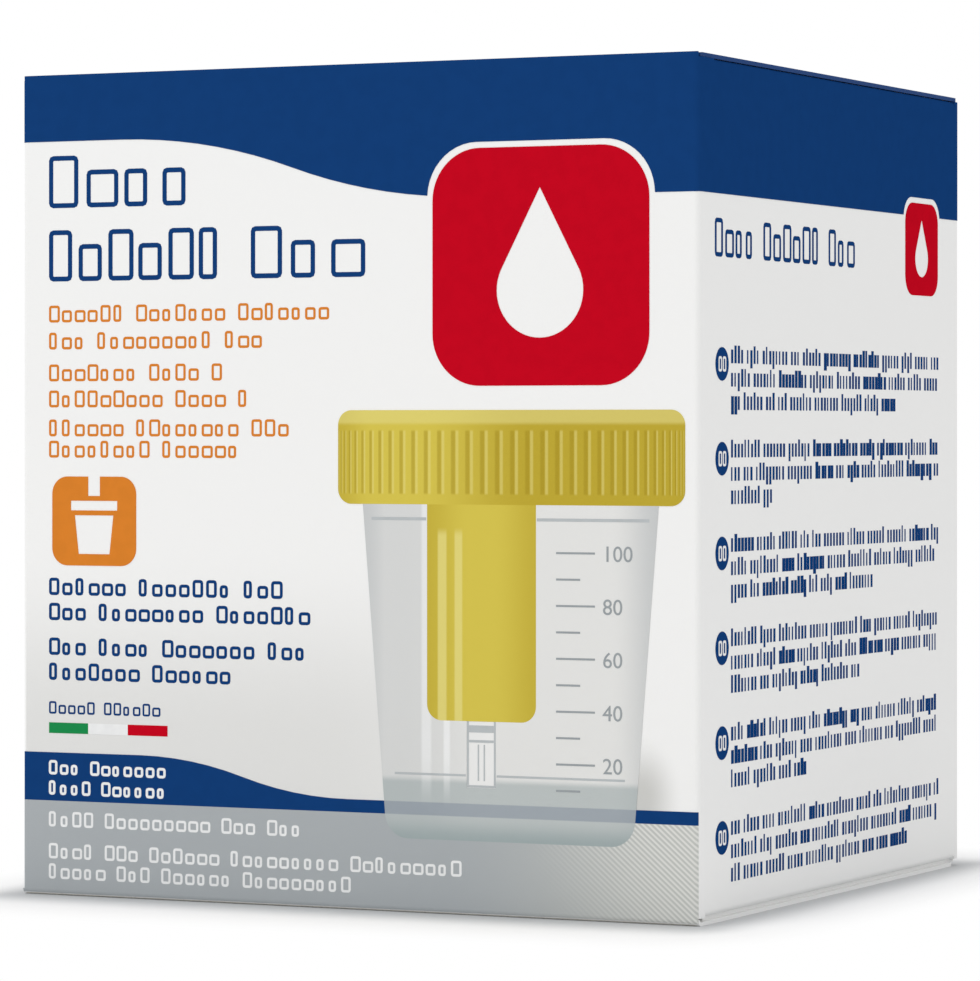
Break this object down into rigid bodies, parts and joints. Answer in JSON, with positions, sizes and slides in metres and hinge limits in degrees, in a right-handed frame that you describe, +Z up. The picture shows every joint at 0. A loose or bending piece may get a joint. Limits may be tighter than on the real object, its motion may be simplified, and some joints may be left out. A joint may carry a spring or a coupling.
{
  "type": "folding carton holding a specimen container",
  "caption": "Folding carton with a hinged tuck-in lid; inside stands a clear specimen cup with a ribbed screw cap and a built-in tube holder.",
  "frame": {"origin": "middle of the carton's footprint, on the surface it stands on", "axes": "+Z up; -Y out of the wide front panel; +X out of the narrower right-hand panel; the lid is hinged along the back panel's top edge"},
  "size_m": [0.0766, 0.073, 0.085],
  "materials": {
    "board": "coated folding boxboard, satin outside, matt grey-white inside",
    "clear_plastic": "clear moulded polypropylene",
    "label_film": "satin white label film",
    "yellow_plastic": "moulded yellow polyethylene, satin gloss",
    "natural_plastic": "milky translucent polypropylene",
    "needle_steel": "ground stainless tube",
    "sleeve_rubber": "matt grey rubber",
    "ink_blue": "offset ink under satin varnish",
    "ink_red": "offset ink under satin varnish",
    "ink_grey": "offset ink under satin varnish",
    "ink_orange": "offset ink under satin varnish",
    "ink_yellow": "offset ink under satin varnish",
    "ink_pale": "offset ink under satin varnish"
  },
  "bodies": {
    "carton": {"carton": "board", "cup": "clear_plastic", "writing_label": "label_film", "print_blue": "ink_blue", "print_red": "ink_red", "print_grey": "ink_grey", "print_orange": "ink_orange", "print_yellow": "ink_yellow", "print_clear": "ink_pale"},
    "carton_lid": {"carton_lid": "board", "lid_print": "ink_blue"},
    "screw_cap": {"screw_cap": "yellow_plastic", "cap_label": "label_film", "suction_tip": "natural_plastic", "needle": "needle_steel", "needle_sleeve": "sleeve_rubber"}
  },
  "joints": [
    {"name": "carton_lid_hinge", "type": "hinge", "parent": "carton", "child": "carton_lid", "pos_m": [0, 0.03631, 0.08475], "axis": [-1, 0, 0], "range_deg": [0, 180]},
    {"name": "screw_cap_turn", "type": "hinge", "parent": "carton", "child": "screw_cap", "pos_m": [0, 0, 0.0625], "axis": [0, 0, 1], "range_deg": [0, 360]}
  ]
}
